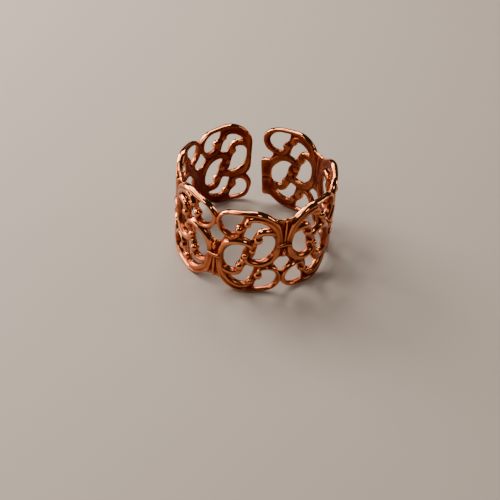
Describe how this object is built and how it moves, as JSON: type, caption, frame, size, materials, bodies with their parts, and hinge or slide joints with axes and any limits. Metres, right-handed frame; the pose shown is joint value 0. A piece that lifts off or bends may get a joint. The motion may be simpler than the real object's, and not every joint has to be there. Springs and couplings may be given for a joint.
{
  "type": "filigree openwork ring",
  "caption": "Wide openwork finger ring of mirrored scroll motifs with ball ends, cast in one strip and bent into a hoop that stays open behind.",
  "frame": {"origin": "on the hoop's axis, at the rim it stands on", "axes": "+Z along the hoop's axis, +Y through the gap between the free ends, -Y through the middle motif"},
  "size_m": [0.019, 0.019, 0.0115],
  "materials": {
    "copper": "polished copper, tarnished dark in the recesses"
  },
  "bodies": {
    "root": {"filigree_band": "copper"}
  },
  "joints": []
}
